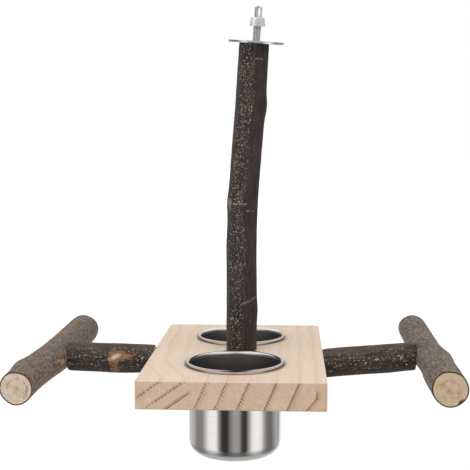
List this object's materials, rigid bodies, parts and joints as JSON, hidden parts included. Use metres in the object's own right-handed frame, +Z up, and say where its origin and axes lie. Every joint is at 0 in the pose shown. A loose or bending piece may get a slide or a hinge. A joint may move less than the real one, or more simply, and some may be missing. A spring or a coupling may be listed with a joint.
{
  "type": "bird perch stand",
  "caption": "Bark-covered perch that hangs from a cage roof by a clamped stud, with T-shaped side perches and lift-out steel food cups in a pine board.",
  "frame": {"origin": "centre of the seat washer's top face, where the cage wires are clamped", "axes": "+Z up along the post, +X to the right perch, +Y to the back along the board's grain"},
  "size_m": [0.2933, 0.201, 0.3014],
  "materials": {
    "pine": "bare planed pine",
    "stainless": "brushed, with a bright rim",
    "post_bark": "dark smooth bark with pale specks",
    "arm_bark": "dark smooth bark with pale specks",
    "crossbar_bark": "grey-brown bark with sawn ends",
    "zinc": "bright zinc plate"
  },
  "bodies": {
    "stand": {"board": "pine", "post": "post_bark", "post_screw": "zinc", "post_screw_washer": "zinc", "hanger_bolt": "zinc", "left_arm": "arm_bark", "right_arm": "arm_bark", "left_arm_screw": "zinc", "right_arm_screw": "zinc", "left_crossbar": "crossbar_bark", "right_crossbar": "crossbar_bark", "left_crossbar_screw": "zinc", "right_crossbar_screw": "zinc"},
    "cup_front": {"cup_front": "stainless"},
    "cup_back": {"cup_back": "stainless"},
    "seat_washer": {"seat_washer": "zinc"},
    "wing_nut": {"wing_nut": "zinc"}
  },
  "joints": [
    {"name": "cup_front_lift", "type": "slide", "parent": "stand", "child": "cup_front", "axis": [0, 0, 1], "range_m": [0, 0.064]},
    {"name": "cup_back_lift", "type": "slide", "parent": "stand", "child": "cup_back", "axis": [0, 0, 1], "range_m": [0, 0.064]},
    {"name": "seat_washer_spin", "type": "hinge", "parent": "stand", "child": "seat_washer", "pos_m": [0, 0, 0], "axis": [0.0695, -0.0872, 0.9938], "continuous": true},
    {"name": "wing_nut_travel", "type": "slide", "parent": "stand", "child": "wing_nut", "axis": [0.0695, -0.0872, 0.9938], "range_m": [-0.0097, 0.0135]}
  ]
}
